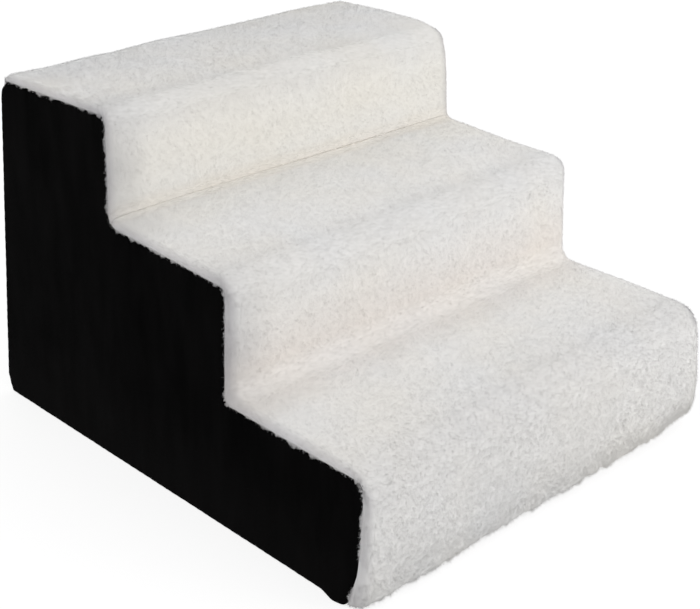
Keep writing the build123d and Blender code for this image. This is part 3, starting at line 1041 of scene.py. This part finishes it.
def suede_panel(name, corners, place, node_name, layer, flip):
    """A closed sheet of suede. place(u, v, out) gives its points in the frame."""
    flat, triangles, gap, where, outline = flat_sheet(corners, panel_spacing, ring_depths)
    out = suede_thickness - edge_drop * edge_round(gap, edge_roll)
    out += panel_swell * (1 - bell(gap, swell_reach))
    strayed = pucker_wander * soft_noise(where, gap, pucker_wander_pitch, layer)
    wave = np.sin(2 * math.pi * where / pucker_pitch + strayed) * np.exp(-gap / pucker_reach)
    out += pucker_height * wave * np.clip(gap / edge_roll, pucker_rim_share, 1)
    out += slack_depth * soft_noise(*flat.T, slack_pitch, layer) * np.clip(gap / swell_reach, 0, 1)
    out += dimple_depth * soft_noise(*flat.T, dimple_pitch, layer + 1)
    outer, inner = place(*flat.T, out), place(*flat.T, np.zeros(len(flat)))
    faces = closed_faces(triangles, len(flat), flip)
    piece = mesh_piece(name, np.concatenate([outer, inner]), faces, suede)
    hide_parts(node_name)
    width, height = (float(x) for x in np.ptp(outline, axis=0))
    outline_area(outline)
    return piece


def within(points, outline):
    """Which points lie inside a closed outline."""
    ends = np.roll(outline, -1, axis=0)
    crossings = np.zeros(len(points), int)
    for (u0, v0), (u1, v1) in zip(outline, ends):
        spans = (v0 > points[:, 1]) != (v1 > points[:, 1])
        if spans.any():
            at = u0 + (points[:, 1] - v0) / (v1 - v0 if v1 != v0 else 1) * (u1 - u0)
            crossings += spans & (points[:, 0] < at)
    return crossings % 2 == 1


def boundary_loop(triangles):
    """The loop of points round a triangulated sheet, in the order its triangles go."""
    sides = np.concatenate([triangles[:, [0, 1]], triangles[:, [1, 2]], triangles[:, [2, 0]]])
    known = {tuple(s) for s in sides}
    follow = {a: b for a, b in known if (b, a) not in known}
    start = next(iter(follow))
    loop, at = [start], follow[start]
    while at != start:
        loop.append(at)
        at = follow[at]
    return np.array(loop)


def side_corners():
    """The side view of the cover, anticlockwise, with Y to the right and Z up."""
    return [
        (base_front, panel_foot, foot_radius),
        (back_foot[0] - back_tuck, panel_foot, foot_radius),
        (*back_foot, back_tuck_round),
        (*back_top, back_top_radius),
        seam_noses[2],
        seam_crease,
        seam_noses[1],
        seam_valley,
        seam_noses[0],
        seam_front,
    ]


def side_place(side):
    """Points of a side panel, with a lump at its front foot, where three seams meet."""
    def place(u, v, out):
        off = np.hypot(u - base_front - seam_lump_reach, v)
        lump = seam_lump * bell(off, seam_lump_reach) * (out > 0)
        return rack(np.stack([side * (core_side + out + lump), u, v], 1))
    return place


# Back of the cover: it follows the side seams at its edges and lies flush behind the zip
lean_start = 62 * mm
zip_reach, flush_power, corner_reach = 24 * mm, 4, 5.5 * mm
window_half_height, window_radius = 6.5 * mm, 1.5 * mm
flap_radius, seam_corner_radius = 1 * mm, 2 * mm


def foot_tuck(height):
    """How far the back is drawn in at its foot."""
    return back_tuck * np.clip(1 - height / back_tuck_height, 0, 1) ** back_tuck_power


def side_back(height):
    """Y of the back seam on a side panel."""
    share = np.clip((height - back_foot[1]) / (back_top[1] - back_foot[1]), 0, 1)
    over = np.clip(height - back_top[1] + back_top_radius, 0, back_top_radius)
    round_off = back_top_radius - np.sqrt(back_top_radius**2 - over**2)
    return back_foot[0] + share * (back_top[0] - back_foot[0]) - foot_tuck(height) - round_off


def back_place(u, v, out):
    """X runs to the left seen from behind, so that u grows to the right there."""
    lean = np.clip((v - lean_start) / (back_top[1] - lean_start), 0, 1)
    middle = cover_back - back_top_lean * lean - foot_tuck(v)
    edge = eased(np.clip((np.abs(u) - core_side + corner_reach) / corner_reach, 0, 1))
    back = middle + edge * (side_back(v) - middle)
    flush = np.exp(-(((v - zip_height) / zip_reach) ** flush_power)) * (1 - edge)
    out = out - flush * np.clip(out - suede_thickness, 0, None)
    flat = np.stack([-u, back - suede_thickness + out, v], 1)
    return flat + (1 - flush)[:, None] * (rack(flat) - flat)


def zip_edge(side):
    """The edge of a back panel with its half of the zip's window, above or below the zip."""
    rim = zip_height + side * window_half_height
    return [
        (-core_side, zip_height, flap_radius),
        (-window_half, zip_height, flap_radius),
        (-window_half, rim, window_radius),
        (window_half, rim, window_radius),
        (window_half, zip_height, flap_radius),
        (core_side, zip_height, flap_radius),
    ]


def seam_edge(height):
    """The edge of a back panel at its top or bottom seam."""
    return [(side * core_side, height, seam_corner_radius) for side in (-1, 1)]


foam_names = ("foam_block_bottom", "foam_block_middle", "foam_block_top")
suede_panel(
    "suede_side_left", side_corners(), side_place(-1), "side_panel_left",
    layer=0, flip=True,
)
suede_panel(
    "suede_side_right", side_corners(), side_place(1), "side_panel_right",
    layer=1, flip=False,
)
upper_corners = zip_edge(1) + seam_edge(seam_height)[::-1]
lower_corners = seam_edge(panel_foot) + zip_edge(-1)[::-1]
back_upper = suede_panel(
    "suede_back_upper", upper_corners, back_place, "back_panel_upper",
    layer=2, flip=False,
)
back_lower = suede_panel(
    "suede_back_lower", lower_corners, back_place, "back_panel_lower",
    layer=0, flip=False,
)


# Foam blocks inside the cover, glued flat on flat, with a channel pressed in behind the zip
foam_gap, foam_spacing, foam_edge = 0.4 * mm, 12 * mm, 3 * mm
foam_rings = (0.0, 1 * mm, 3 * mm)
foam_noses, foam_corner = (14 * mm, 9 * mm, 8 * mm), 1 * mm
channel_depth, channel_half, channel_slope = 9 * mm, 34 * mm, 6 * mm


def foam_back(height):
    """Y of the foam behind the back panels."""
    return float(side_back(height)) - suede_thickness - foam_gap


def foam_views():
    """The side view of each block, anticlockwise, from the lowest. A corner that doesn't say its
    radius gets the foam's."""
    heights = [height - foam_gap for height in nose_heights]
    noses = [(top + foam_gap, *nose) for top, *nose in zip(riser_tops, heights, foam_noses)]
    joins = [
        [(foot + foam_gap, height - foam_gap), (foam_back(height - foam_gap), height - foam_gap)]
        for foot, height in zip(riser_feet, inner_heights)
    ]
    floor = base_thickness + foam_gap
    low, high = zip_height - channel_half, zip_height + channel_half
    bottom = [
        (base_front + foam_gap, floor),
        (foam_back(floor), floor),
        (foam_back(low), low),
        (foam_back(low) - channel_depth, low + channel_slope),
        (foam_back(high) - channel_depth, high - channel_slope),
        (foam_back(high), high),
        *joins[0][::-1],
        noses[0],
        (noses[0][0], front_tuck_height, front_tuck_round),
    ]
    middle = [*joins[0], *joins[1][::-1], noses[1]]
    top = [*joins[1], (foam_back(heights[2]), heights[2] - back_top_drop, back_top_radius), noses[2]]
    return [[(*spot, foam_corner)[:3] for spot in block] for block in (bottom, middle, top)]


def foam_block(name, corners, node_name):
    flat, triangles, gap, _, _ = flat_sheet(corners, foam_spacing, foam_rings)
    half = core_side - foam_gap - foam_edge * edge_round(gap, foam_edge)
    sides = [rack(np.stack([side * half, *flat.T], 1)) for side in (1, -1)]
    faces = closed_faces(triangles, len(flat), False)
    piece = mesh_piece(name, np.concatenate(sides), faces, foam)
    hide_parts(node_name)


for name, corners, node_name in zip(foam_names, foam_views(), slab_names):
    foam_block(name, corners, node_name)


# Base cloth with its grip dots
cloth_thickness, cloth_lift = 1.1 * mm, 0.6 * mm
cloth_corner, cloth_spacing, cloth_edge_share = 3 * mm, 10 * mm, 0.6
dot_pitch, dot_radius, dot_inset, dot_sides = 12 * mm, 2.1 * mm, 9 * mm, 10
dot_foot, dot_root = 0.05 * mm, 0.1 * mm
dot_radius_shares, dot_drop_shares = (1.0, 0.86, 0.5), (0.0, 0.65, 0.95)


def base_place(u, v, out):
    return rack(np.stack([u, v, cloth_lift + cloth_thickness - out], 1))


def base_sheet():
    half = core_side - foam_gap
    sides = ((-half, base_front), (half, base_front), (half, base_back), (-half, base_back))
    corners = [(*side, cloth_corner) for side in sides]
    flat, triangles, gap, _, outline = flat_sheet(corners, cloth_spacing, foam_rings)
    near = np.clip(1 - gap / foam_edge, 0, 1)
    out = cloth_thickness * (1 - cloth_edge_share * near**2)
    outer, inner = base_place(*flat.T, out), base_place(*flat.T, np.zeros(len(flat)))
    faces = closed_faces(triangles, len(flat), True)
    piece = mesh_piece("base_cloth", np.concatenate([outer, inner]), faces, base_cloth)
    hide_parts("base_panel")
    width, depth = (float(x) for x in np.ptp(outline, axis=0))
    outline_area(outline)
    grip_dots()


def grip_dots():
    """Rows of low rubber dots, every second row half a pitch along."""
    row_pitch = dot_pitch * math.sin(math.pi / 3)
    spots = []
    for row, y in enumerate(np.arange(base_front + dot_inset, base_back - dot_inset, row_pitch)):
        start = -core_side + dot_inset + (row % 2) * dot_pitch / 2
        spots += [(x, y) for x in np.arange(start, core_side - dot_inset, dot_pitch)]
    spots = np.array(spots)
    i, j, angles = round_steps(dot_sides)
    ring = np.stack([np.cos(angles), np.sin(angles)], 1)
    top = cloth_lift + dot_root
    one = []
    for share, drop in zip(dot_radius_shares, dot_drop_shares):
        level = np.full((dot_sides, 1), top - drop * (top - dot_foot))
        one.append(np.concatenate([share * dot_radius * ring, level], 1))
    one = np.concatenate([*one, [(0, 0, dot_foot)]])
    points = one[None] + np.concatenate([spots, np.zeros((len(spots), 1))], 1)[:, None]
    rings = len(dot_radius_shares)
    walls = tube_faces(dot_sides, rings)[:, ::-1]
    last, tip = (rings - 1) * dot_sides, rings * dot_sides
    ends = np.stack([last + j, last + i, np.full(dot_sides, tip)], 1)
    base = len(one) * np.arange(len(spots))[:, None, None]
    faces = [
        (base + walls).reshape(-1, 4),
        (base + ends).reshape(-1, 3),
        (base + i[None, None]).reshape(-1, dot_sides),
    ]
    return mesh_piece("grip_dots", rack(points.reshape(-1, 3)), faces, rubber)


base_sheet()


# Stitching along the zip window
stitch_length, stitch_pitch, stitch_radius = 3.0 * mm, 3.7 * mm, 0.32 * mm
stitch_inset, stitch_sides, stitch_sunk_share = 2.6 * mm, 6, 0.75
stitch_places = (-0.5, -0.36, -0.12, 0.12, 0.36, 0.5)
stitch_width_shares = (0.25, 0.75, 1.0, 1.0, 0.75, 0.25)


def window_stitches(panel, side):
    """A row of stitches on a back panel, above or below the zip."""
    skin = BVHTree.FromPolygons(
        [v.co for v in panel.data.vertices], [p.vertices[:] for p in panel.data.polygons]
    )
    height = zip_height + side * (window_half_height + stitch_inset)
    i, _, angles = round_steps(stitch_sides)
    points = []
    for middle in np.arange(-window_half, window_half, stitch_pitch):
        for place, share in zip(stitch_places, stitch_width_shares):
            x = middle + place * stitch_length
            hit = skin.ray_cast(Vector((x, 2 * cover_back, height)), Vector((0, -1, 0)))[0]
            level = hit.y + stitch_radius * (share - stitch_sunk_share)
            radius = share * stitch_radius
            points += [(x, level + radius * math.sin(a), height + radius * math.cos(a)) for a in angles]
    rings = len(stitch_places)
    one = tube_faces(stitch_sides, rings)
    last = stitch_sides * (rings - 1)
    base = stitch_sides * rings * np.arange(len(points) // (stitch_sides * rings))[:, None, None]
    caps = np.stack([i[::-1], last + i])
    faces = [(base + one).reshape(-1, 4), (base + caps).reshape(-1, stitch_sides)]
    return mesh_piece(f"zip_stitches_{panel.name.split('_')[-1]}", points, faces, thread)


window_stitches(back_upper, 1)
window_stitches(back_lower, -1)


# Finishes of the pieces that stay as packed
def finish_node(name, finish, slot):
    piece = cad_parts[name]
    piece.data.materials.clear()
    piece.data.materials.append(finish)


chain_names = ("zip_teeth_upper", "zip_teeth_lower", "zip_bottom_stop", "zip_top_stops")
zip_finishes = [
    (tape_cloth, "zip_tape", ("zip_tape_upper", "zip_tape_lower")),
    (tooth_plastic, "zip_teeth", chain_names),
    (enamel, "zip_metal", ("zip_slider", "zip_pull")),
]
for finish, slot, names in zip_finishes:
    for name in names:
        finish_node(name, finish, slot)


# Studio: a pale floor, soft lamps and a white surround
floor_size = 8.0
floor_bounce, floor_seen, floor_glow = 0.78, 0.30, 0.80
surround_glow = 0.81
lamp_aim = Vector((0, 0, 0.12))


def in_scene(name, data):
    """An object of the studio, placed in the scene."""
    made = bpy.data.objects.new(name, data)
    bpy.context.scene.collection.objects.link(made)
    return made


def seen_directly(tree):
    """1 for what the camera sees, straight or in a mirror, and 0 for light that bounces."""
    path = node(tree, "ShaderNodeLightPath").outputs
    return maths(tree, "MAXIMUM", path["Is Camera Ray"], path["Is Glossy Ray"])


def studio_floor():
    mesh = bpy.data.meshes.new("floor")
    half = floor_size / 2
    corners = [(-half, -half, 0), (half, -half, 0), (half, half, 0), (-half, half, 0)]
    mesh.from_pydata(corners, [], [(0, 1, 2, 3)])
    made, tree, shader = material("floor")
    seen = seen_directly(tree)
    bounce, shown = (floor_bounce,) * 3 + (1,), (floor_seen,) * 3 + (1,)
    wire(
        tree, shader, Base_Color=blend_colour(tree, seen, bounce, shown),
        Emission_Strength=maths(tree, "MULTIPLY", seen, floor_glow), Emission_Color=(1, 1, 1, 1),
        Roughness=1.0, Specular_IOR_Level=0.0,
    )
    mesh.materials.append(made)
    floor = in_scene("floor", mesh)


def surround():
    world = bpy.data.worlds.new("surround")
    world.use_nodes = True
    bpy.context.scene.world = world
    tree = world.node_tree
    strength = between(tree, seen_directly(tree), 0.0, 1.0, surround_glow, 1.0)
    wire(tree, tree.nodes["Background"], Color=(1, 1, 1, 1), Strength=strength)


def lamp(name, place, size, power, tint):
    """A square lamp that points at the stairs."""
    light = bpy.data.lights.new(name, "AREA")
    light.shape, light.size, light.energy, light.color = "SQUARE", size, power, tint
    piece = in_scene(name, light)
    piece.location = place
    piece.rotation_mode = "QUATERNION"
    piece.rotation_quaternion = (lamp_aim - Vector(place)).to_track_quat("-Z", "Y")


studio_floor()
surround()
lamp("key", place=(0.95, -1.35, 0.45), size=1.2, power=7.8, tint=(1.0, 0.985, 0.955))
lamp("top", place=(0.3, -0.3, 2.2), size=1.8, power=2, tint=(0.97, 0.985, 1.0))

# Camera, solved from the photograph, which is 700 pixels wide and 609 high
photo_width_px, photo_height_px, axis_row_px, focal_px = 700, 609, 220, 1369
camera_azimuth, camera_elevation, camera_roll = (math.radians(a) for a in (-45.41, 21.64, 1.03))
camera_distance, camera_aim = 1.1542, Vector((0, 0, 0.1782))
sensor_width_mm = 36


def photo_camera():
    lens = bpy.data.cameras.new("camera")
    lens.sensor_width = sensor_width_mm
    lens.lens = sensor_width_mm * focal_px / photo_width_px
    lens.shift_y = (axis_row_px - photo_height_px / 2) / photo_width_px
    camera = in_scene("camera", lens)
    flat = math.cos(camera_elevation)
    back = Vector((
        math.sin(camera_azimuth) * flat, -math.cos(camera_azimuth) * flat, math.sin(camera_elevation)
    ))
    level = Vector((0, 0, 1)).cross(back).normalized()
    upright = back.cross(level)
    c, s = math.cos(camera_roll), math.sin(camera_roll)
    right, up = c * level + s * upright, c * upright - s * level
    turned = Matrix((right, up, back)).transposed().to_4x4()
    camera.matrix_world = Matrix.Translation(camera_aim + camera_distance * back) @ turned
    bpy.context.scene.camera = camera


photo_camera()
bpy.context.scene.view_settings.view_transform = "Standard"
